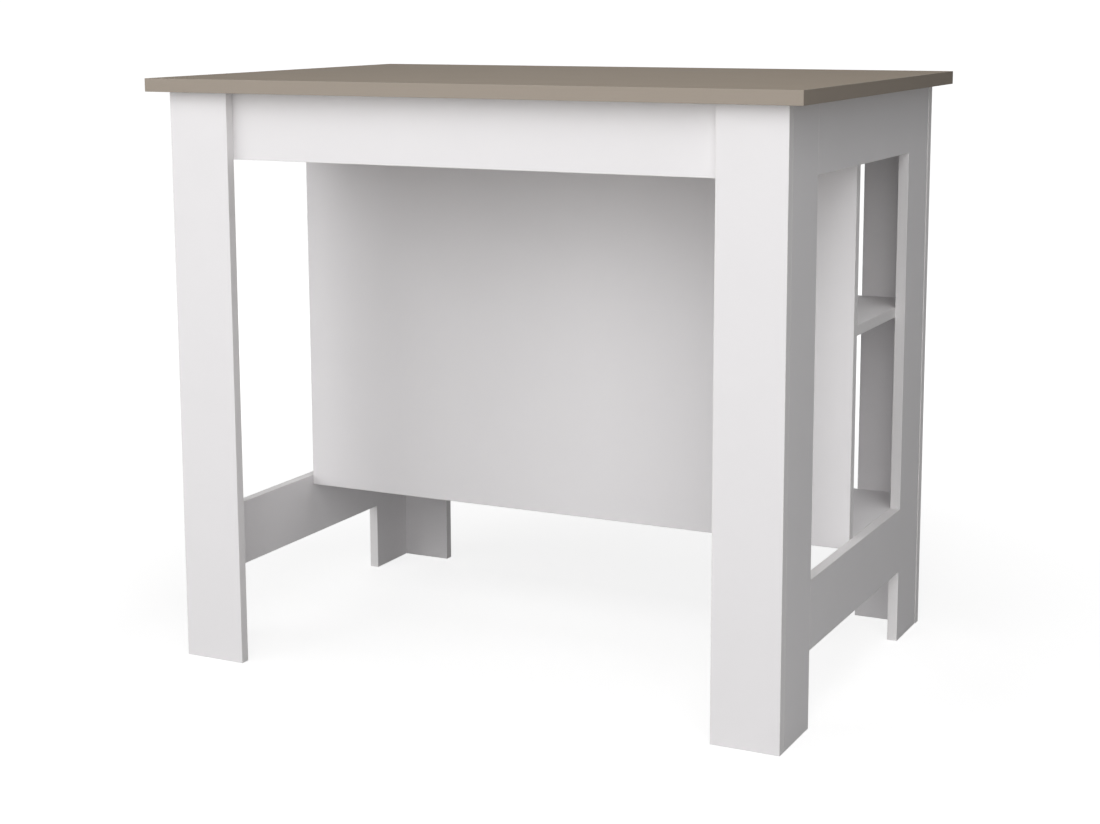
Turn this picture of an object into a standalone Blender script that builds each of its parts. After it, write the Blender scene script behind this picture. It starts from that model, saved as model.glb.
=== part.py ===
"""A kitchen island: a counter-height table on two open side frames, with a wall panel at mid depth and two
shelves behind it. Each board is a piece of its own. Glued dowels hold the side frames and the L-shaped legs,
and cam locks hold the rest.

Metres, +Z up. The origin is on the floor under the middle of the worktop, and the seating side faces -Y."""

import math

import bmesh
import bpy
from mathutils import Matrix, Vector

# Worktop
HEIGHT = 0.900
WORKTOP_LENGTH = 1.036
WORKTOP_DEPTH = 0.712
WORKTOP_THICKNESS = 0.020
END_OVERHANG = 0.027
LONG_OVERHANG = 0.0245

# White boards
BOARD = 0.016
LEG_BOARD_WIDTH = 0.102
REAR_LEG_STEP = 0.001  # a rear leg board is this much wider, and stands proud of its post
POST_WIDTH = 0.101
TOP_RAIL_HEIGHT = 0.100
BOTTOM_RAIL_HEIGHT = 0.1025
FOOT_HEIGHT = 0.114  # floor to the underside of the bottom rails
APRON_HEIGHT = 0.100
KNEE_DEPTH = 0.340  # front of the leg boards to the front of the wall panel
MIDDLE_SHELF_HEIGHT = 0.5385  # floor to the top of the middle shelf
EDGE_RADIUS = 0.0005  # trimmed edge banding
EDGE_STEPS = 2

# Gaps between neighbours
GLUE_LINE = 0.0001
SEAT_GAP = 0.0003
BORE_FIT = 0.0002  # round a fastener in its bore
BORE_END = 0.001  # past the end of a fastener in a blind bore
BLIND_SKIN = 0.003  # board left behind a blind bore

# Dowels
DOWEL_DIAMETER = 0.008
DOWEL_LENGTH = 0.030
DOWEL_CHAMFER = 0.001
RAIL_DOWEL_INSET = 0.024  # from a rail's upper and lower edge
RAIL_DOWEL_ROOT = 0.006  # length of a rail's dowel inside the rail
LEG_DOWEL_INSET = 0.150  # from a leg board's ends
SHELF_DOWEL_INSET = 0.115  # from a side frame's inner face to a shelf's end dowels

# Cam locks
CAM_SETBACK = 0.024  # from a board's end to the axis of its cam
CAM_WALL = 0.0019
CAM_PILLAR = 0.0038
CAM_CROSS_LENGTH = 0.0066
CAM_CROSS_WIDTH = 0.0014
CAM_CROSS_DEPTH = 0.0020
CAM_SLOT_START = math.radians(-45)
CAM_SLOT_SWEEP = math.radians(165)
CAM_SLOT_STEPS = 7
BOLT_THREAD = 0.0060
BOLT_COLLAR = 0.0072
BOLT_COLLAR_LENGTH = 0.0020
BOLT_SHANK = 0.0056
BOLT_NECK = 0.0038
BOLT_HEAD = 0.0055
BOLT_HEAD_LENGTH = 0.0026
BOLT_TIP = 0.0010  # taper at the screwed end
WORKTOP_CAM_INSET = 0.195  # from a side frame's inner face to the cams that hold the worktop
SHELF_CAM_INSET = 0.060  # from a rear post's front edge to the lower shelf's cams

# Facets
ROD_SIDES = 12
BOLT_SIDES = 8
CAM_SIDES = 16
SMOOTH_ANGLE = math.radians(40)
CUT_OVERRUN = 0.001

X, Y, Z = Vector((1, 0, 0)), Vector((0, 1, 0)), Vector((0, 0, 1))

# Planes that several pieces share
half_width = WORKTOP_LENGTH / 2 - END_OVERHANG
half_depth = WORKTOP_DEPTH / 2 - LONG_OVERHANG
underside = HEIGHT - WORKTOP_THICKNESS
frame_top = underside - SEAT_GAP
side_inner = half_width - BOARD
leg_inner = half_depth - BOARD
window_edge = leg_inner - POST_WIDTH
between_sides = side_inner - SEAT_GAP
rail_top = FOOT_HEIGHT + BOTTOM_RAIL_HEIGHT
wall_front = KNEE_DEPTH - half_depth
wall_back = wall_front + BOARD
shelf_front = wall_back + SEAT_GAP
shelf_rear = leg_inner - SEAT_GAP
apron_middle = leg_inner - SEAT_GAP - BOARD / 2
lower_shelf_middle = rail_top - BOARD / 2
middle_shelf_middle = MIDDLE_SHELF_HEIGHT - BOARD / 2
blind_depth = BOARD - BLIND_SKIN
dowel_in_face = blind_depth - BORE_END


def finish(name, colour, roughness, metallic=0.0):
    made = bpy.data.materials.new(name)
    made.use_nodes = True
    made.diffuse_color = (*colour, 1.0)
    shader = made.node_tree.nodes["Principled BSDF"]
    shader.inputs["Base Color"].default_value = (*colour, 1.0)
    shader.inputs["Roughness"].default_value = roughness
    shader.inputs["Metallic"].default_value = metallic
    return made


def add(name, mesh, material=None, parent=None):
    """An object in the scene, or an empty where mesh is None."""
    made = bpy.data.objects.new(name, mesh)
    bpy.context.scene.collection.objects.link(made)
    made.parent = parent
    if material and not mesh.materials:
        mesh.materials.append(material)
    return made


def board(name, low, high, material, rounded, sharp=None):
    """A board between two corners. Its edges along the axes in rounded are softened, except on the side that
    sharp points to."""
    low, high = Vector(low), Vector(high)
    bm = bmesh.new()
    bmesh.ops.create_cube(bm, size=1.0)
    bmesh.ops.scale(bm, vec=high - low, verts=bm.verts)
    soft = []
    for edge in bm.edges:
        first, second = (vert.co for vert in edge.verts)
        along = (second - first).normalized()
        butted = sharp is not None and first.dot(sharp) > 0 and second.dot(sharp) > 0
        if any(abs(along.dot(axis)) > 0.5 for axis in rounded) and not butted:
            soft.append(edge)
    bmesh.ops.bevel(
        bm, geom=soft, offset=EDGE_RADIUS, segments=EDGE_STEPS, profile=0.5, affect="EDGES", material=-1
    )
    mesh = bpy.data.meshes.new(name)
    bm.to_mesh(mesh)
    bm.free()
    made = add(name, mesh, material, island)
    made.location = (low + high) / 2
    return made


def turned(name, profile, sides, smooth=True):
    """A solid turned round +Z from a profile of (radius, height) points, lower end first."""
    bm = bmesh.new()
    rings = []
    for radius, height in profile:
        ring = bmesh.ops.create_circle(bm, radius=radius, segments=sides)["verts"]
        bmesh.ops.translate(bm, vec=Z * height, verts=ring)
        rings.append(ring)
    for lower, upper in zip(rings, rings[1:]):
        for i in range(sides):
            j = (i + 1) % sides
            bm.faces.new((lower[i], lower[j], upper[j], upper[i]))
    bm.faces.new(list(reversed(rings[0])))
    bm.faces.new(rings[-1])
    bmesh.ops.recalc_face_normals(bm, faces=bm.faces)
    mesh = bpy.data.meshes.new(name)
    bm.to_mesh(mesh)
    bm.free()
    if smooth:
        mesh.shade_smooth()
        mesh.set_sharp_from_angle(angle=SMOOTH_ANGLE)
    return mesh


def cut(body, helpers, operation="DIFFERENCE"):
    """A Boolean on body with hidden helper objects, which may overlap each other."""
    group = bpy.data.collections.new(f"{body.name}_{operation.lower()}")
    bpy.context.scene.collection.children.link(group)
    for helper in helpers:
        bpy.context.scene.collection.objects.unlink(helper)
        group.objects.link(helper)
        helper.hide_render = True
        helper.display_type = "WIRE"
    modifier = body.modifiers.new(group.name, "BOOLEAN")
    modifier.operation = operation
    modifier.operand_type = "COLLECTION"
    modifier.collection = group
    modifier.solver = "EXACT"


def stand(obj, carrier, point, direction):
    """Puts obj on carrier, with its +Z along direction and its origin at a point of the room."""
    obj.parent = carrier
    obj.location = point - carrier.location
    obj.rotation_euler = direction.to_track_quat("Z", "Y").to_euler()


def bore(carrier, mouth, direction, diameter, depth, sides=ROD_SIDES):
    """Drills a blind hole into a board, from a point on its face."""
    radius = diameter / 2 + BORE_FIT
    drill = turned("bore", [(radius, -CUT_OVERRUN), (radius, depth)], sides, smooth=False)
    cutter = add(f"{carrier.name}_bore", drill)
    stand(cutter, carrier, mouth, direction)
    bores.setdefault(carrier, []).append(cutter)


def dowel_profile(start, end):
    """A dowel from start to end along its axis, chamfered at both ends."""
    radius, tip = DOWEL_DIAMETER / 2, DOWEL_DIAMETER / 2 - DOWEL_CHAMFER
    return [(tip, start), (radius, start + DOWEL_CHAMFER), (radius, end - DOWEL_CHAMFER), (tip, end)]


def dowel(name, face_board, edge_board, point, direction):
    """A loose dowel that goes from a board's face, at point, along direction into another board's edge."""
    in_edge = DOWEL_LENGTH - dowel_in_face
    made = add(name, dowel_mesh, beech)
    stand(made, edge_board, point, direction)
    bore(face_board, point, -direction, DOWEL_DIAMETER, blind_depth)
    bore(edge_board, point, direction, DOWEL_DIAMETER, in_edge + BORE_END)


def bolt_profile():
    """A cam bolt along +Z, with 0 at the face that it is screwed into."""
    cam_axis = SEAT_GAP + CAM_SETBACK
    shoulder = (bolt_head_start + bolt_head_end) / 2
    return [
        (BOLT_THREAD / 2 - BOLT_TIP, BORE_END - blind_depth),
        (BOLT_THREAD / 2, BORE_END - blind_depth + BOLT_TIP),
        (BOLT_THREAD / 2, BORE_FIT),
        (BOLT_COLLAR / 2, BORE_FIT),
        (BOLT_COLLAR / 2, BORE_FIT + BOLT_COLLAR_LENGTH),
        (BOLT_SHANK / 2, BORE_FIT + BOLT_COLLAR_LENGTH),
        (BOLT_SHANK / 2, cam_axis - cam_radius - SEAT_GAP),
        (BOLT_NECK / 2, cam_axis - cam_radius - BORE_FIT),
        (BOLT_NECK / 2, cam_axis - bolt_head_start),
        (BOLT_HEAD / 2, cam_axis - shoulder),
        (BOLT_NECK / 2, cam_axis - bolt_head_end),
    ]


def cam_mesh():
    """A cam standing on its axis, with the bolt coming in along -X at height 0. A slot runs round its side,
    wide enough inside for the bolt's head and outside only for its neck, from a round mouth that lets the
    head in. A cross recess takes the screwdriver."""
    top, bottom = BOARD / 2 - BORE_FIT, BLIND_SKIN + BORE_FIT - BOARD / 2
    body = add("cam_blank", turned("cam_blank", [(cam_radius, bottom), (cam_radius, top)], CAM_SIDES))

    pocket, slot, outside = BOLT_HEAD / 2 + BORE_FIT, BOLT_NECK / 2 + BORE_FIT, cam_radius + CUT_OVERRUN
    half_section = [
        (CAM_PILLAR / 2, pocket),
        (cam_pocket_radius, pocket),
        (cam_pocket_radius, slot),
        (outside, slot),
    ]
    section = half_section + [(radius, -height) for radius, height in reversed(half_section)]
    bm = bmesh.new()
    start = bm.faces.new([bm.verts.new((radius, 0, height)) for radius, height in section])
    turn = Matrix.Rotation(CAM_SLOT_START, 3, "Z")
    bmesh.ops.rotate(bm, cent=(0, 0, 0), matrix=turn, verts=bm.verts)
    bmesh.ops.spin(bm, geom=[start], cent=(0, 0, 0), axis=Z, angle=CAM_SLOT_SWEEP, steps=CAM_SLOT_STEPS)
    bmesh.ops.recalc_face_normals(bm, faces=bm.faces)
    slot_mesh = bpy.data.meshes.new("cam_slot")
    bm.to_mesh(slot_mesh)
    bm.free()
    cutters = [add("cam_slot", slot_mesh)]

    mouth = add("cam_mouth", turned("cam_mouth", [(pocket, 0), (pocket, outside)], ROD_SIDES, smooth=False))
    stand(mouth, body, Vector((0, 0, 0)), Matrix.Rotation(CAM_SLOT_START + CAM_SLOT_SWEEP, 3, "Z") @ X)
    cutters.append(mouth)

    for name, length, width in (
        ("cam_cross_x", CAM_CROSS_LENGTH, CAM_CROSS_WIDTH),
        ("cam_cross_y", CAM_CROSS_WIDTH, CAM_CROSS_LENGTH),
    ):
        bm = bmesh.new()
        bmesh.ops.create_cube(bm, size=1.0)
        bmesh.ops.scale(bm, vec=(length, width, 2 * CAM_CROSS_DEPTH), verts=bm.verts)
        bmesh.ops.translate(bm, vec=Z * top, verts=bm.verts)
        cross = bpy.data.meshes.new(name)
        bm.to_mesh(cross)
        bm.free()
        cutters.append(add(name, cross))

    cut(body, cutters)
    mesh = bpy.data.meshes.new_from_object(body.evaluated_get(bpy.context.evaluated_depsgraph_get()))
    for helper in [body, *cutters]:
        bpy.data.objects.remove(helper)
    mesh.name = "cam"
    return mesh


def cam_lock(name, cam_board, bolt_board, point, direction, cam_face):
    """A bolt screwed into bolt_board's face at point, and the cam in cam_board that holds it, in the face
    that cam_face points out of. direction runs along the bolt into cam_board, at the middle of that board's
    thickness."""
    bolt = add(f"{name}_bolt", bolt_mesh, steel)
    stand(bolt, bolt_board, point, direction)
    bore(bolt_board, point, -direction, BOLT_THREAD, blind_depth)
    bore(cam_board, point, direction, BOLT_COLLAR, SEAT_GAP + CAM_SETBACK)

    axis_point = point + direction * (SEAT_GAP + CAM_SETBACK)
    cam = add(f"{name}_cam", cam_shape, zinc)
    cam.parent = cam_board
    cam.location = axis_point - cam_board.location
    towards_bolt = -direction
    cam_axes = Matrix((towards_bolt, cam_face.cross(towards_bolt), cam_face)).transposed()
    cam.rotation_euler = cam_axes.to_euler()
    bore(cam_board, axis_point + cam_face * BOARD / 2, -cam_face, 2 * cam_radius, blind_depth, CAM_SIDES)


def side_frame(side, sign):
    """Two posts and two rails in one plane round the side window, and the leg boards that close its corners.
    Each rail end carries two dowels, glued in."""
    outer, inner = sorted((sign * half_width, sign * side_inner))
    for place, turn in (("front", -1), ("rear", 1)):
        near, far = sorted((turn * window_edge, turn * (leg_inner - GLUE_LINE)))
        post = f"{side}_{place}_post"
        boards[post] = board(
            post, (outer, near, 0), (inner, far, frame_top), white, rounded=(Z,), sharp=Y * turn
        )
        leg_low, leg_high = sorted((turn * half_depth, turn * leg_inner))
        leg_outer = half_width + (REAR_LEG_STEP if place == "rear" else 0)
        leg_left, leg_right = sorted((sign * leg_outer, sign * (half_width - LEG_BOARD_WIDTH)))
        leg = f"{side}_{place}_leg_board"
        boards[leg] = board(
            leg, (leg_left, leg_low, 0), (leg_right, leg_high, frame_top), white, rounded=(Z,)
        )

    rail_end = window_edge - GLUE_LINE
    for name, low, high in (
        ("top_rail", frame_top - TOP_RAIL_HEIGHT, frame_top),
        ("bottom_rail", FOOT_HEIGHT, rail_top),
    ):
        rail = board(f"{side}_{name}", (outer, -rail_end, low), (inner, rail_end, high), white, rounded=(Y,))
        boards[f"{side}_{name}"] = rail
        glued = turned("glued_dowel", dowel_profile(-RAIL_DOWEL_ROOT, DOWEL_LENGTH / 2), ROD_SIDES)
        tenons = []
        for place, turn in (("front", -1), ("rear", 1)):
            post = boards[f"{side}_{place}_post"]
            for height in (low + RAIL_DOWEL_INSET, high - RAIL_DOWEL_INSET):
                end = Vector((sign * (half_width - BOARD / 2), turn * rail_end, height))
                tenon = add(f"{rail.name}_dowel", glued)
                stand(tenon, rail, end, Y * turn)
                tenons.append(tenon)
                bore(post, end, Y * turn, DOWEL_DIAMETER, DOWEL_LENGTH / 2 + BORE_END)
        cut(rail, tenons, "UNION")


def leg_dowels(side, sign):
    """Two dowels from each leg board's inner face into the edge of its post."""
    for place, turn in (("front", -1), ("rear", 1)):
        for level, height in (("lower", LEG_DOWEL_INSET), ("upper", frame_top - LEG_DOWEL_INSET)):
            dowel(
                f"{side}_{place}_leg_dowel_{level}",
                boards[f"{side}_{place}_leg_board"],
                boards[f"{side}_{place}_post"],
                Vector((sign * (half_width - BOARD / 2), turn * leg_inner, height)),
                Y * -turn,
            )


def apron(place, turn):
    """A strip behind the leg boards, under the worktop. Its cams face the inside of the table."""
    near, far = sorted((turn * (apron_middle + BOARD / 2), turn * (apron_middle - BOARD / 2)))
    name = f"{place}_apron"
    made = board(
        name,
        (-between_sides, near, frame_top - APRON_HEIGHT),
        (between_sides, far, frame_top),
        white,
        rounded=(X,),
    )
    boards[name] = made
    for side, sign in SIDES:
        end = Vector((sign * side_inner, turn * apron_middle, frame_top - APRON_HEIGHT / 2))
        cam_lock(f"{name}_{side}", made, boards[f"{side}_{place}_post"], end, X * -sign, Y * -turn)
        over = Vector((sign * (side_inner - WORKTOP_CAM_INSET), turn * apron_middle, underside))
        cam_lock(f"worktop_{place}_{side}", made, boards["worktop"], over, -Z, Y * -turn)


def wall_panel():
    """The panel that closes the knee space. It hangs between the top rails, and its lower edge is level with
    the lower shelf."""
    made = board(
        "wall_panel",
        (-between_sides, wall_front, rail_top - BOARD),
        (between_sides, wall_back, frame_top),
        white,
        rounded=(X, Z),
    )
    boards["wall_panel"] = made
    for side, sign in SIDES:
        end = Vector((sign * side_inner, (wall_front + wall_back) / 2, frame_top - TOP_RAIL_HEIGHT / 2))
        cam_lock(f"wall_panel_{side}", made, boards[f"{side}_top_rail"], end, X * -sign, Y)


def shelf(name, middle, holder, cam_depth):
    """A shelf from the wall panel to the rear leg boards. Dowels carry its front edge, and a cam lock under
    each end holds it."""
    made = board(
        name,
        (-between_sides, shelf_front, middle - BOARD / 2),
        (between_sides, shelf_rear, middle + BOARD / 2),
        white,
        rounded=(X, Y),
    )
    boards[name] = made
    for side, sign in SIDES:
        end = Vector((sign * side_inner, cam_depth, middle))
        cam_lock(f"{name}_{side}", made, boards[f"{side}_{holder}"], end, X * -sign, -Z)
    dowel_reach = side_inner - SHELF_DOWEL_INSET
    for place, offset in (("left", -dowel_reach), ("middle", 0), ("right", dowel_reach)):
        dowel(f"{name}_dowel_{place}", boards["wall_panel"], made, Vector((offset, wall_back, middle)), Y)


for old in list(bpy.data.objects):
    bpy.data.objects.remove(old)

white = finish("white_melamine", (0.83, 0.82, 0.83), 0.42)
taupe = finish("taupe_laminate", (0.35, 0.31, 0.27), 0.45)
beech = finish("beech", (0.60, 0.43, 0.27), 0.65)
zinc = finish("zinc", (0.52, 0.53, 0.55), 0.45, metallic=1.0)
steel = finish("zinc_plated_steel", (0.62, 0.62, 0.60), 0.35, metallic=1.0)

# The cam is sized round the bolt's head, and the bolt reaches to the cam's pillar
bolt_head_end = CAM_PILLAR / 2 + SEAT_GAP
bolt_head_start = bolt_head_end + BOLT_HEAD_LENGTH
head_sweep = math.hypot((bolt_head_start + bolt_head_end) / 2, BOLT_HEAD / 2)
cam_pocket_radius = max(math.hypot(bolt_head_start, BOLT_NECK / 2), head_sweep) + BORE_FIT
cam_radius = cam_pocket_radius + CAM_WALL

SIDES = (("left", -1), ("right", 1))
boards, bores = {}, {}
island = add("kitchen_island", None)
dowel_mesh = turned("dowel", dowel_profile(-dowel_in_face, DOWEL_LENGTH - dowel_in_face), ROD_SIDES)
bolt_mesh = turned("cam_bolt", bolt_profile(), BOLT_SIDES)
cam_shape = cam_mesh()

boards["worktop"] = board(
    "worktop",
    (-WORKTOP_LENGTH / 2, -WORKTOP_DEPTH / 2, underside),
    (WORKTOP_LENGTH / 2, WORKTOP_DEPTH / 2, HEIGHT),
    taupe,
    rounded=(X, Y, Z),
)
for side, sign in SIDES:
    side_frame(side, sign)
    leg_dowels(side, sign)
apron("front", -1)
apron("rear", 1)
wall_panel()
shelf("lower_shelf", lower_shelf_middle, "bottom_rail", window_edge - SHELF_CAM_INSET)
shelf("middle_shelf", middle_shelf_middle, "rear_post", leg_inner - POST_WIDTH / 2)
for drilled, cutters in bores.items():
    cut(drilled, cutters)
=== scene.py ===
"""A kitchen island: white melamine boards on two open side frames under a taupe laminate worktop.

Every board is the CAD board with its real make-up on it: decor faces, glued edge bands and a bare chipboard
core. The dowels are fluted, the cam bolts threaded, and the cams are die-cast zinc."""

import math

import bmesh
import bpy
from mathutils import Matrix, Quaternion, Vector


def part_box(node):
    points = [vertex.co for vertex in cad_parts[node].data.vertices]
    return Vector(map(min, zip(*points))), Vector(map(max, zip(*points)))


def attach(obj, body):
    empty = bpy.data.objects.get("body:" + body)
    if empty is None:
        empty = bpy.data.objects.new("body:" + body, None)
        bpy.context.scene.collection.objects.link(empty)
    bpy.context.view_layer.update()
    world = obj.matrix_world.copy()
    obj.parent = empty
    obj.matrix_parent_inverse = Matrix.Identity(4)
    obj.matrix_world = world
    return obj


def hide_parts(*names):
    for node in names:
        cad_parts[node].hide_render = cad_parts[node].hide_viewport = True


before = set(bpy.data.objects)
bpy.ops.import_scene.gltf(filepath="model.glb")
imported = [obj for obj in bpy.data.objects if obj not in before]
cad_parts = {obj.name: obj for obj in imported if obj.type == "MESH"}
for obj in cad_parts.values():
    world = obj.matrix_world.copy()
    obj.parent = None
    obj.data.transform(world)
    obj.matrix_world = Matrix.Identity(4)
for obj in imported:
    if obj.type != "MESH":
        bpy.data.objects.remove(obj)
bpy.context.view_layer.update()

# Side frames: two posts and two rails a side, strips of 16 mm chipboard faced with white melamine paper.
# Their edges carry a glued plastic band, and only the ends under the worktop and on the floor are as sawn.
# Beech dowels glued into the rails' ends hold the four strips in one plane round an open window.
MELAMINE_WHITE = "#ECEAEB"
MELAMINE_SHADE = "#E9E7E8"
BAND_WHITE = "#EBE9E9"
GLUE_CREAM = "#CFCBC4"
CHIP_LIGHT = "#C9AE86"
CHIP_MIDDLE = "#A98A60"
CHIP_DARK = "#6F5637"
BEECH_PALE = "#D9B48A"
BEECH_DARK = "#B98A5E"

BAND = 0.0008  # edge band
GLUE_LINE = 0.00015  # hot-melt glue between a band and its board
PAPER_SKIN = 0.0003  # depth that counts as the pressed decor face
WELD = 0.000001  # distance at which a CAD mesh's loose corners are merged
FLAT_ANGLE = math.radians(0.5)  # faces that turn by less than this are joined into one

PEARL = 0.0014  # the press plate's pearl grain is about 0.4 mm, drawn coarser so that it shows
PEARL_HEIGHT = PEARL / 20
PEARL_GLOSS = 0.06  # how far the grain's roughness strays from the mean
CLOUD = 0.09  # slow drift of tone over a sheet
MELAMINE_IOR = 1.5
WHITE_SHEEN = 0.2  # the fine grain scatters much of the sheen that smooth resin would have
RIPPLE_HEIGHT = PEARL / 40  # a band's ripple is drawn as wide as the pearl grain
RIPPLE_GLOSS = 0.04
ABS_IOR = 1.53
GLUE_RUN = 0.02  # length over which the glue line changes
CHIP = 0.0025  # wood chips in the core
CHIP_FIBRE = CHIP / 4  # fibres that the saw tears up
SAW_DEPTH = CHIP / 10  # how deep it tears
CHIP_MIDDLE_AT = 0.35  # of the way from the dark chips to the light ones
BEECH_FLECK = 0.0012  # the ray flecks are about 0.4 mm wide, drawn coarser so that they show
BEECH_FLECK_RATIO = 0.08  # a fleck's width over its length
BEECH_PORE_DEPTH = BEECH_FLECK / 10


def linear(hex_colour):
    """Linear RGBA of an sRGB hex colour."""
    channels = [int(hex_colour[i:i + 2], 16) / 255 for i in (1, 3, 5)]
    return [c / 12.92 if c <= 0.04045 else ((c + 0.055) / 1.055) ** 2.4 for c in channels] + [1.0]


def add_node(tree, kind, inputs=None, **settings):
    """Add a node with its settings. inputs maps a socket's identifier to a value, a node or an output."""
    node = tree.nodes.new("ShaderNode" + kind)
    for name, value in settings.items():
        setattr(node, name, value)
    sockets = {socket.identifier: socket for socket in node.inputs}
    for name, value in (inputs or {}).items():
        if isinstance(value, bpy.types.Node):
            value = next(output for output in value.outputs if output.enabled)
        if isinstance(value, bpy.types.NodeSocket):
            tree.links.new(value, sockets[name])
        else:
            sockets[name].default_value = value
    return node


def new_material(name):
    material = bpy.data.materials.new(name)
    material.use_nodes = True
    material.node_tree.nodes.clear()
    return material, material.node_tree


def decor_board(name, colour, shade, roughness, sheen, relief):
    """Decor paper set in melamine resin, pressed against a pearl-grained plate: an even colour under a satin
    surface that breaks up its highlights."""
    material, tree = new_material(name)
    place = add_node(tree, "TexCoord").outputs["Object"]
    cloud = add_node(tree, "TexNoise", {"Vector": place, "Scale": 1 / CLOUD, "Detail": 3.0})
    pearl = add_node(tree, "TexNoise", {"Vector": place, "Scale": 1 / PEARL, "Detail": 1.0})
    tone = add_node(
        tree,
        "Mix",
        {"Factor_Float": cloud, "A_Color": linear(colour), "B_Color": linear(shade)},
        data_type="RGBA",
    )
    gloss = add_node(
        tree,
        "MapRange",
        {"Value": pearl, "To Min": roughness - PEARL_GLOSS, "To Max": roughness + PEARL_GLOSS},
    )
    grain = add_node(tree, "Bump", {"Height": pearl, "Strength": relief, "Distance": PEARL_HEIGHT})
    shader = add_node(
        tree,
        "BsdfPrincipled",
        {
            "Base Color": tone,
            "Roughness": gloss,
            "Normal": grain,
            "IOR": MELAMINE_IOR,
            "Specular IOR Level": sheen,
        },
    )
    add_node(tree, "OutputMaterial", {"Surface": shader})
    return material


def edge_band(name, colour, roughness, sheen):
    """ABS edge band, extruded and trimmed flush: a shade smoother than the faces, with a faint ripple left by
    the extruder."""
    material, tree = new_material(name)
    place = add_node(tree, "TexCoord").outputs["Object"]
    ripple = add_node(tree, "TexNoise", {"Vector": place, "Scale": 1 / PEARL, "Detail": 0.0})
    gloss = add_node(
        tree,
        "MapRange",
        {"Value": ripple, "To Min": roughness - RIPPLE_GLOSS, "To Max": roughness + RIPPLE_GLOSS},
    )
    waves = add_node(tree, "Bump", {"Height": ripple, "Strength": 0.1, "Distance": RIPPLE_HEIGHT})
    shader = add_node(
        tree,
        "BsdfPrincipled",
        {
            "Base Color": linear(colour),
            "Roughness": gloss,
            "Normal": waves,
            "IOR": ABS_IOR,
            "Specular IOR Level": sheen,
        },
    )
    add_node(tree, "OutputMaterial", {"Surface": shader})
    return material


white_melamine = decor_board(
    "white_melamine_pearl", MELAMINE_WHITE, MELAMINE_SHADE, roughness=0.6, sheen=WHITE_SHEEN, relief=0.25
)
white_band = edge_band("white_abs_band", BAND_WHITE, roughness=0.55, sheen=WHITE_SHEEN)

# Hot-melt glue: a thin cream line with a dull shine, a little uneven along its run
glue, tree = new_material("hot_melt_glue")
place = add_node(tree, "TexCoord").outputs["Object"]
run = add_node(tree, "TexNoise", {"Vector": place, "Scale": 1 / GLUE_RUN})
tone = add_node(
    tree,
    "Mix",
    {"Factor_Float": run, "A_Color": linear(GLUE_CREAM), "B_Color": linear(BAND_WHITE)},
    data_type="RGBA",
)
shader = add_node(tree, "BsdfPrincipled", {"Base Color": tone, "Roughness": 0.5})
add_node(tree, "OutputMaterial", {"Surface": shader})

# Chipboard core, as sawn: pressed chips of mixed tone, roughened by the saw
chipboard, tree = new_material("chipboard_sawn")
place = add_node(tree, "TexCoord").outputs["Object"]
chips = add_node(tree, "TexVoronoi", {"Vector": place, "Scale": 1 / CHIP})
fibre = add_node(tree, "TexNoise", {"Vector": place, "Scale": 1 / CHIP_FIBRE, "Detail": 4.0})
shades = add_node(tree, "ValToRGB", {"Fac": chips.outputs["Color"]})
shades.color_ramp.elements[0].color = linear(CHIP_DARK)
shades.color_ramp.elements[1].color = linear(CHIP_LIGHT)
shades.color_ramp.elements.new(CHIP_MIDDLE_AT).color = linear(CHIP_MIDDLE)
tone = add_node(
    tree,
    "Mix",
    {"Factor_Float": fibre, "A_Color": shades, "B_Color": linear(CHIP_MIDDLE)},
    data_type="RGBA",
)
rough_sawn = add_node(tree, "Bump", {"Height": fibre, "Strength": 0.6, "Distance": SAW_DEPTH})
shader = add_node(tree, "BsdfPrincipled", {"Base Color": tone, "Roughness": 0.85, "Normal": rough_sawn})
add_node(tree, "OutputMaterial", {"Surface": shader})

# Beech, turned: pale brown with short darker flecks along the grain, which runs along each dowel
beech, tree = new_material("beech_turned")
place = add_node(tree, "TexCoord").outputs["Object"]
along = add_node(tree, "Mapping", {"Vector": place, "Scale": (1.0, BEECH_FLECK_RATIO, 1.0)})
fleck = add_node(tree, "TexNoise", {"Vector": along, "Scale": 1 / BEECH_FLECK, "Detail": 3.0})
tone = add_node(
    tree,
    "Mix",
    {"Factor_Float": fleck, "A_Color": linear(BEECH_PALE), "B_Color": linear(BEECH_DARK)},
    data_type="RGBA",
)
pores = add_node(tree, "Bump", {"Height": fleck, "Strength": 0.3, "Distance": BEECH_PORE_DEPTH})
shader = add_node(tree, "BsdfPrincipled", {"Base Color": tone, "Roughness": 0.6, "Normal": pores})
add_node(tree, "OutputMaterial", {"Surface": shader})


def new_piece(name, bm, node):
    """A finished mesh that stands for a CAD node."""
    mesh = bpy.data.meshes.new(name)
    bm.to_mesh(mesh)
    bm.free()
    piece = bpy.data.objects.new(name, mesh)
    bpy.context.scene.collection.objects.link(piece)
    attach(piece, "root")
    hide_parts(node)
    return piece


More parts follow.
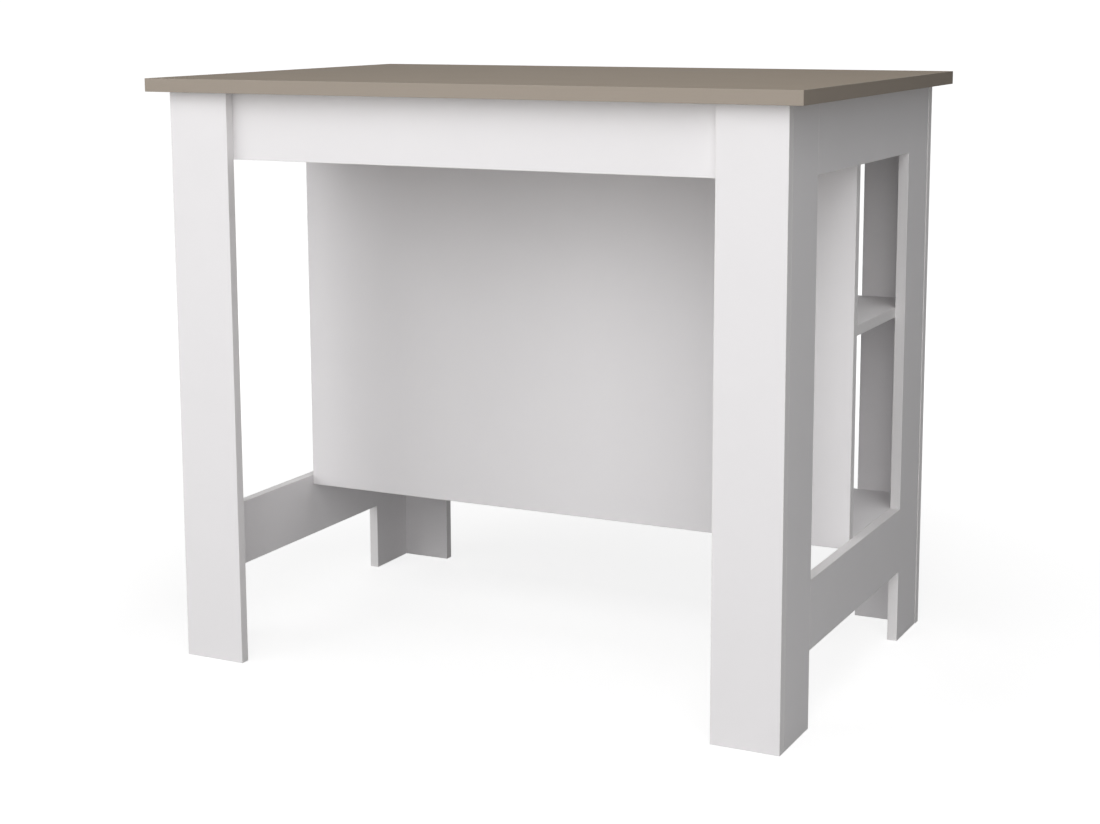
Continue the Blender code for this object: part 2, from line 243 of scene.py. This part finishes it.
def banded_board(node, banded, face, band, rail_end=None):
    """The CAD board with its make-up marked off: a band and a glue line on each side in banded, such as "-z",
    the decor on its two broad faces and bare core elsewhere. A rail is banded at rail_end too, and past that
    are its beech dowels."""
    low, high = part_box(node)
    thin = min(range(3), key=lambda axis: high[axis] - low[axis])
    bm = bmesh.new()
    bm.from_mesh(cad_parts[node].data)
    bmesh.ops.remove_doubles(bm, verts=bm.verts, dist=WELD)
    bmesh.ops.dissolve_limit(bm, verts=bm.verts, edges=bm.edges, angle_limit=FLAT_ANGLE)
    sides = []
    for side in banded:
        axis = "xyz".index(side[1])
        outward = -1 if side[0] == "-" else 1
        sides.append((axis, outward, (low if outward < 0 else high)[axis]))
    for axis, outward, edge in sides:
        normal = Vector((0, 0, 0))
        normal[axis] = outward
        for depth in (BAND, BAND + GLUE_LINE):
            bmesh.ops.bisect_plane(
                bm,
                geom=[*bm.verts, *bm.edges, *bm.faces],
                dist=WELD,
                plane_co=normal * (outward * edge - depth),
                plane_no=normal,
            )
    finishes = []
    for polygon in bm.faces:
        middle = polygon.calc_center_median()
        sunk = min(outward * (edge - middle[axis]) for axis, outward, edge in sides)
        if rail_end and abs(middle.y) > rail_end:
            finish = beech
        elif sunk < BAND or (rail_end and rail_end - abs(middle.y) < BAND):
            finish = band
        elif sunk < BAND + GLUE_LINE:
            finish = glue
        elif min(middle[thin] - low[thin], high[thin] - middle[thin]) < PAPER_SKIN:
            finish = face
        else:
            finish = chipboard
        if finish not in finishes:
            finishes.append(finish)
        polygon.material_index = finishes.index(finish)
    piece = new_piece(node + "_banded", bm, node)
    for finish in finishes:
        piece.data.materials.append(finish)


def white_board(node, banded, rail_end=None):
    banded_board(node, banded, white_melamine, white_band, rail_end)


window_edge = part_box("left_rear_post")[0].y  # the front posts' edge mirrors it
for side in ("left", "right"):
    white_board(f"{side}_front_post", ["-y", "+y"])
    white_board(f"{side}_rear_post", ["-y", "+y"])
    white_board(f"{side}_top_rail", ["-z"], window_edge)
    white_board(f"{side}_bottom_rail", ["-z", "+z"], window_edge)

# Leg boards: one on each post, so that the two make an L-shaped leg. The same faced chipboard, banded along
# both long edges, because the outer one shows on the side and the inner one beside the apron.
for side in ("left", "right"):
    for place in ("front", "rear"):
        white_board(f"{side}_{place}_leg_board", ["-x", "+x"])

# Loose dowels: 8 mm beech rod, fluted so that glue and air can leave the hole, with chamfered ends. Two tie
# each leg board to its post, and three tie each shelf to the wall panel.
FLUTES = 16
FLUTE_FACETS = 3  # a land and the two slopes of a groove
FLUTE_DEPTH = 0.0003
DOWEL_CHAMFER = 0.001


def fluted_dowel(node):
    """A rod along Y, made along Z and then turned."""
    low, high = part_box(node)
    radius = (high.x - low.x) / 2
    bm = bmesh.new()
    bmesh.ops.create_cone(
        bm,
        cap_ends=True,
        segments=FLUTE_FACETS * FLUTES,
        radius1=radius,
        radius2=radius,
        depth=high.y - low.y - 2 * DOWEL_CHAMFER,
    )
    step = math.tau / (FLUTE_FACETS * FLUTES)
    for vert in bm.verts:
        if round(math.atan2(vert.co.y, vert.co.x) / step) % FLUTE_FACETS == 0:
            vert.co.xy *= 1 - FLUTE_DEPTH / radius
    caps = [polygon for polygon in bm.faces if len(polygon.verts) > 4]
    for cap in bmesh.ops.extrude_discrete_faces(bm, faces=caps)["faces"]:
        taper = 1 - DOWEL_CHAMFER / radius
        bmesh.ops.scale(bm, vec=(taper, taper, 1), verts=cap.verts)
        bmesh.ops.translate(bm, vec=cap.normal * DOWEL_CHAMFER, verts=cap.verts)
    bmesh.ops.rotate(bm, cent=(0, 0, 0), matrix=Matrix.Rotation(math.pi / 2, 3, "X"), verts=bm.verts)
    bmesh.ops.translate(bm, vec=(low + high) / 2, verts=bm.verts)
    new_piece(node + "_fluted", bm, node).data.materials.append(beech)


for side in ("left", "right"):
    for place in ("front", "rear"):
        for level in ("lower", "upper"):
            fluted_dowel(f"{side}_{place}_leg_dowel_{level}")
for shelf in ("lower", "middle"):
    for place in ("left", "middle", "right"):
        fluted_dowel(f"{shelf}_shelf_dowel_{place}")

# Aprons: strips under the worktop behind the leg boards, front and rear. Only the lower edge is banded: the
# upper one meets the worktop and the ends meet the side frames.
for place in ("front", "rear"):
    white_board(f"{place}_apron", ["-z"])

# Wall panel: the full-width panel that closes the knee space, faced on both sides. Its ends and lower edge
# stand free between the rails, so they are banded.
white_board("wall_panel", ["-x", "+x", "-z"])

# Shelves: two between the wall panel and the rear legs. Both ends and the rear edge show and are banded; the
# front edge butts against the wall panel.
for shelf in ("lower_shelf", "middle_shelf"):
    white_board(shelf, ["-x", "+x", "+y"])

# Cam locks: a steel bolt screwed into one board and a slotted zinc cam in the next, which pulls on the bolt's
# head when it is turned. They hold the aprons, wall panel, shelves and worktop.
LOCKS = (
    "front_apron",
    "rear_apron",
    "worktop_front",
    "worktop_rear",
    "wall_panel",
    "lower_shelf",
    "middle_shelf",
)

CAST_DARK = "#A9ABAD"
CAST_LIGHT = "#C3C4C5"
CAST_PEEL = 0.0008  # dimples in the skin of a casting
CAST_RELIEF = 0.00005  # their depth
PLATING_BLUE = "#C4C8CC"
PLATING_CREAM = "#D2D0C6"
PLATING_BLOOM = 0.004  # clouds in the plating

# Die-cast zinc: dull grey with the fine orange-peel skin of the mould
zinc, tree = new_material("zinc_die_cast")
place = add_node(tree, "TexCoord").outputs["Object"]
skin = add_node(tree, "TexNoise", {"Vector": place, "Scale": 1 / CAST_PEEL, "Detail": 3.0})
tone = add_node(
    tree,
    "Mix",
    {"Factor_Float": skin, "A_Color": linear(CAST_DARK), "B_Color": linear(CAST_LIGHT)},
    data_type="RGBA",
)
gloss = add_node(tree, "MapRange", {"Value": skin, "To Min": 0.35, "To Max": 0.55})
peel = add_node(tree, "Bump", {"Height": skin, "Strength": 0.3, "Distance": CAST_RELIEF})
shader = add_node(
    tree, "BsdfPrincipled", {"Base Color": tone, "Metallic": 1.0, "Roughness": gloss, "Normal": peel}
)
add_node(tree, "OutputMaterial", {"Surface": shader})

# Zinc-plated steel: bright and slightly blue, clouded where the plating is passivated
plated_steel, tree = new_material("zinc_plated_steel_bright")
place = add_node(tree, "TexCoord").outputs["Object"]
bloom = add_node(tree, "TexNoise", {"Vector": place, "Scale": 1 / PLATING_BLOOM, "Detail": 2.0})
tone = add_node(
    tree,
    "Mix",
    {"Factor_Float": bloom, "A_Color": linear(PLATING_BLUE), "B_Color": linear(PLATING_CREAM)},
    data_type="RGBA",
)
gloss = add_node(tree, "MapRange", {"Value": bloom, "To Min": 0.22, "To Max": 0.36})
shader = add_node(tree, "BsdfPrincipled", {"Base Color": tone, "Metallic": 1.0, "Roughness": gloss})
add_node(tree, "OutputMaterial", {"Surface": shader})

# The bolt's outline as (radius, distance from the screwed tip): pointed core, collar, shank, neck and head
BOLT_OUTLINE = (
    (0.0, 0.0),
    (0.0014, 0.0),
    (0.0022, 0.0012),
    (0.0022, 0.0122),
    (0.0035, 0.0122),
    (0.0036, 0.0124),
    (0.0036, 0.0140),
    (0.0034, 0.0142),
    (0.0028, 0.0142),
    (0.0028, 0.0286),
    (0.0019, 0.0289),
    (0.0019, 0.0315),
    (0.0027, 0.0326),
    (0.0027, 0.0330),
    (0.0019, 0.0341),
    (0.0, 0.0341),
)
BOLT_STEPS = 24  # facets round the bolt
THREAD_PITCH = 0.0025
THREAD_TURNS = 4
THREAD_START = 0.0014  # from the tip to the middle of the tooth
THREAD_ROOT = (0.0021, 0.0014)  # the tooth's radius and width at the core
THREAD_CREST = (0.0030, 0.0003)
SHARP = math.radians(35)  # edges that turn by more than this stay crisp


def threaded_bolt(lock):
    """A bolt with its tip in one board and its head towards the lock's cam."""
    low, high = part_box(f"{lock}_bolt")
    cam_low, cam_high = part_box(f"{lock}_cam")
    along = max(range(3), key=lambda axis: high[axis] - low[axis])
    heading = Vector((0, 0, 0))
    heading[along] = math.copysign(1, (cam_low + cam_high - low - high)[along])
    tip = (low + high) / 2 - heading * (high[along] - low[along]) / 2
    bm = bmesh.new()
    outline = [bm.verts.new((radius, 0, height)) for radius, height in BOLT_OUTLINE]
    edges = [bm.edges.new(pair) for pair in zip(outline, outline[1:])]
    centre, axis = (0, 0, 0), (0, 0, 1)
    bmesh.ops.spin(
        bm,
        geom=[*outline, *edges],
        cent=centre,
        axis=axis,
        angle=math.tau,
        steps=BOLT_STEPS,
        use_merge=True,
    )
    root, root_width = THREAD_ROOT
    crest, crest_width = THREAD_CREST
    tooth = [
        bm.verts.new((radius, 0, THREAD_START + height))
        for radius, height in (
            (root, -root_width / 2),
            (crest, -crest_width / 2),
            (crest, crest_width / 2),
            (root, root_width / 2),
        )
    ]
    bmesh.ops.spin(
        bm,
        geom=[bm.faces.new(tooth)],
        cent=centre,
        axis=axis,
        dvec=(0, 0, THREAD_PITCH / BOLT_STEPS),
        angle=math.tau * THREAD_TURNS,
        steps=BOLT_STEPS * THREAD_TURNS,
    )
    bmesh.ops.remove_doubles(bm, verts=bm.verts, dist=WELD)
    bmesh.ops.recalc_face_normals(bm, faces=bm.faces)
    turn = heading.to_track_quat("Z", "Y").to_matrix()
    bmesh.ops.rotate(bm, cent=centre, matrix=turn, verts=bm.verts)
    bmesh.ops.translate(bm, vec=tip, verts=bm.verts)
    piece = new_piece(f"{lock}_bolt_threaded", bm, f"{lock}_bolt")
    piece.data.materials.append(plated_steel)
    piece.data.shade_smooth()
    piece.data.set_sharp_from_angle(angle=SHARP)


for lock in LOCKS:
    for side in ("left", "right"):
        threaded_bolt(f"{lock}_{side}")
        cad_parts[f"{lock}_{side}_cam"].material_slots[0].material = zinc

# Worktop: 20 mm chipboard with a taupe laminate on both faces and a matching band round all four edges. Bolts
# screwed into its underside drop into the aprons' cams.
TAUPE = "#9E9386"
TAUPE_SHADE = "#9B9083"
TAUPE_BAND = "#A1978C"
TAUPE_SHEEN = 0.02  # a dead matt laminate
taupe_laminate = decor_board(
    "taupe_laminate_pearl", TAUPE, TAUPE_SHADE, roughness=0.85, sheen=TAUPE_SHEEN, relief=0.3
)
taupe_band = edge_band("taupe_abs_band", TAUPE_BAND, roughness=0.8, sheen=TAUPE_SHEEN)
banded_board("worktop", ["-x", "+x", "-y", "+y"], taupe_laminate, taupe_band)

# Floor: a plain pale sheet that takes the object's shadow. To the camera and in reflections it is lifted to
# white, and only the shadow stays below that.
FLOOR_SIZE = 60.0
FLOOR_DROP = 0.0003  # below the feet, so that the two faces don't fight
FLOOR_BOUNCE = "#BEBEBE"  # what it throws back onto the object
FLOOR_SEEN = "#9A9A9A"  # what the shadow falls on
FLOOR_LIFT = 0.8  # added near the object
WHITE_LIFT = 1.05  # added beyond its shadow: 1 is white, and the rest makes up for denoising at the border
SHADOW_NEAR = 0.7  # the lift grows from this distance to the next
SHADOW_FAR = 2.2

bm = bmesh.new()
bmesh.ops.create_grid(bm, x_segments=1, y_segments=1, size=FLOOR_SIZE / 2)
bmesh.ops.translate(bm, vec=(0, 0, -FLOOR_DROP), verts=bm.verts)
mesh = bpy.data.meshes.new("floor")
bm.to_mesh(mesh)
bm.free()
floor = bpy.data.objects.new("floor", mesh)
bpy.context.scene.collection.objects.link(floor)


def seen_directly(tree):
    """1 for what the camera sees, directly, in a reflection or through glass, and 0 for bounced light."""
    path = add_node(tree, "LightPath")
    glossy = add_node(
        tree,
        "Math",
        {"Value": path.outputs["Is Camera Ray"], "Value_001": path.outputs["Is Glossy Ray"]},
        operation="MAXIMUM",
    )
    return add_node(
        tree,
        "Math",
        {"Value": glossy, "Value_001": path.outputs["Is Transmission Ray"]},
        operation="MAXIMUM",
    )


pale_floor, tree = new_material("pale_floor")
seen = seen_directly(tree)
bounce = add_node(tree, "BsdfDiffuse", {"Color": linear(FLOOR_BOUNCE)})
shadow = add_node(tree, "BsdfDiffuse", {"Color": linear(FLOOR_SEEN)})
place = add_node(tree, "TexCoord").outputs["Object"]
away = add_node(tree, "VectorMath", {"Vector": place}, operation="LENGTH")
brighter = add_node(
    tree,
    "MapRange",
    {
        "Value": away,
        "From Min": SHADOW_NEAR,
        "From Max": SHADOW_FAR,
        "To Min": FLOOR_LIFT,
        "To Max": WHITE_LIFT,
    },
)
lift = add_node(tree, "Emission", {"Strength": brighter})
lifted = add_node(tree, "AddShader", {"Shader": shadow, "Shader_001": lift})
surface = add_node(tree, "MixShader", {"Fac": seen, "Shader": bounce, "Shader_001": lifted})
add_node(tree, "OutputMaterial", {"Surface": surface})
floor.data.materials.append(pale_floor)

# Studio light: a white surround, far dimmer as light than it looks, and soft boxes. A large key stands at the
# front left and a wider, weaker one at the front. Smaller ones stand at the front right and over the right
# side, and weak ones open up the left and the rear.
SURROUND = "#FFFFFF"
SURROUND_LIGHT = 0.01
LIGHT_AIM = Vector((0.0, 0.0, 0.5))
SOFT_BOXES = (  # degrees from the front towards the right, degrees up, metres away, metres across, watts
    ("key", -38, 18, 4.6, 3.5, 75.0),
    ("front", 0, 25, 4.6, 5.0, 52.5),
    ("left_low", -60, 10, 4.0, 2.0, 12.0),
    ("right_low", 30, 10, 4.0, 2.0, 28.0),
    ("right_high", 30, 42, 4.2, 3.0, 48.0),
    ("over_right", 90, 75, 4.0, 2.0, 40.0),
    ("rear_left", -150, 15, 4.0, 2.0, 26.0),
)

world = bpy.data.worlds.new("white_surround")
bpy.context.scene.world = world
world.use_nodes = True
tree = world.node_tree
tree.nodes.clear()
lit = add_node(tree, "Background", {"Color": linear(SURROUND), "Strength": SURROUND_LIGHT})
white = add_node(tree, "Background", {"Color": linear(SURROUND), "Strength": WHITE_LIFT})
surround = add_node(tree, "MixShader", {"Fac": seen_directly(tree), "Shader": lit, "Shader_001": white})
add_node(tree, "OutputWorld", {"Surface": surround})

for name, degrees_round, degrees_up, distance, size, power in SOFT_BOXES:
    turn, rise = math.radians(degrees_round), math.radians(degrees_up)
    towards = Vector((math.sin(turn) * math.cos(rise), -math.cos(turn) * math.cos(rise), math.sin(rise)))
    lamp = bpy.data.objects.new(name, bpy.data.lights.new(name, "AREA"))
    lamp.data.size = size
    lamp.data.energy = power
    lamp.location = LIGHT_AIM + distance * towards
    lamp.rotation_euler = towards.to_track_quat("Z", "Y").to_euler()
    bpy.context.scene.collection.objects.link(lamp)

# Camera: at the photograph's angle, a little above the worktop and to the right of the front. The lens is
# shifted down a little, which keeps the legs nearly upright.
CAMERA_PLACE = Vector((1.357, -2.768, 1.0154))
CAMERA_AIM = Vector((0.0391, -0.1171, 0.5311))
CAMERA_LENS = 65.1  # millimetres, on a 36 mm sensor
CAMERA_SHIFT = -0.08  # of the picture's width
CAMERA_ROLL = math.radians(-0.2)

camera = bpy.data.objects.new("camera", bpy.data.cameras.new("camera"))
camera.data.lens = CAMERA_LENS
camera.data.shift_y = CAMERA_SHIFT
camera.location = CAMERA_PLACE
aimed = (CAMERA_AIM - CAMERA_PLACE).to_track_quat("-Z", "Y")
camera.rotation_euler = (aimed @ Quaternion((0, 0, 1), CAMERA_ROLL)).to_euler()
bpy.context.scene.collection.objects.link(camera)
bpy.context.scene.camera = camera
bpy.context.scene.view_settings.view_transform = "Standard"
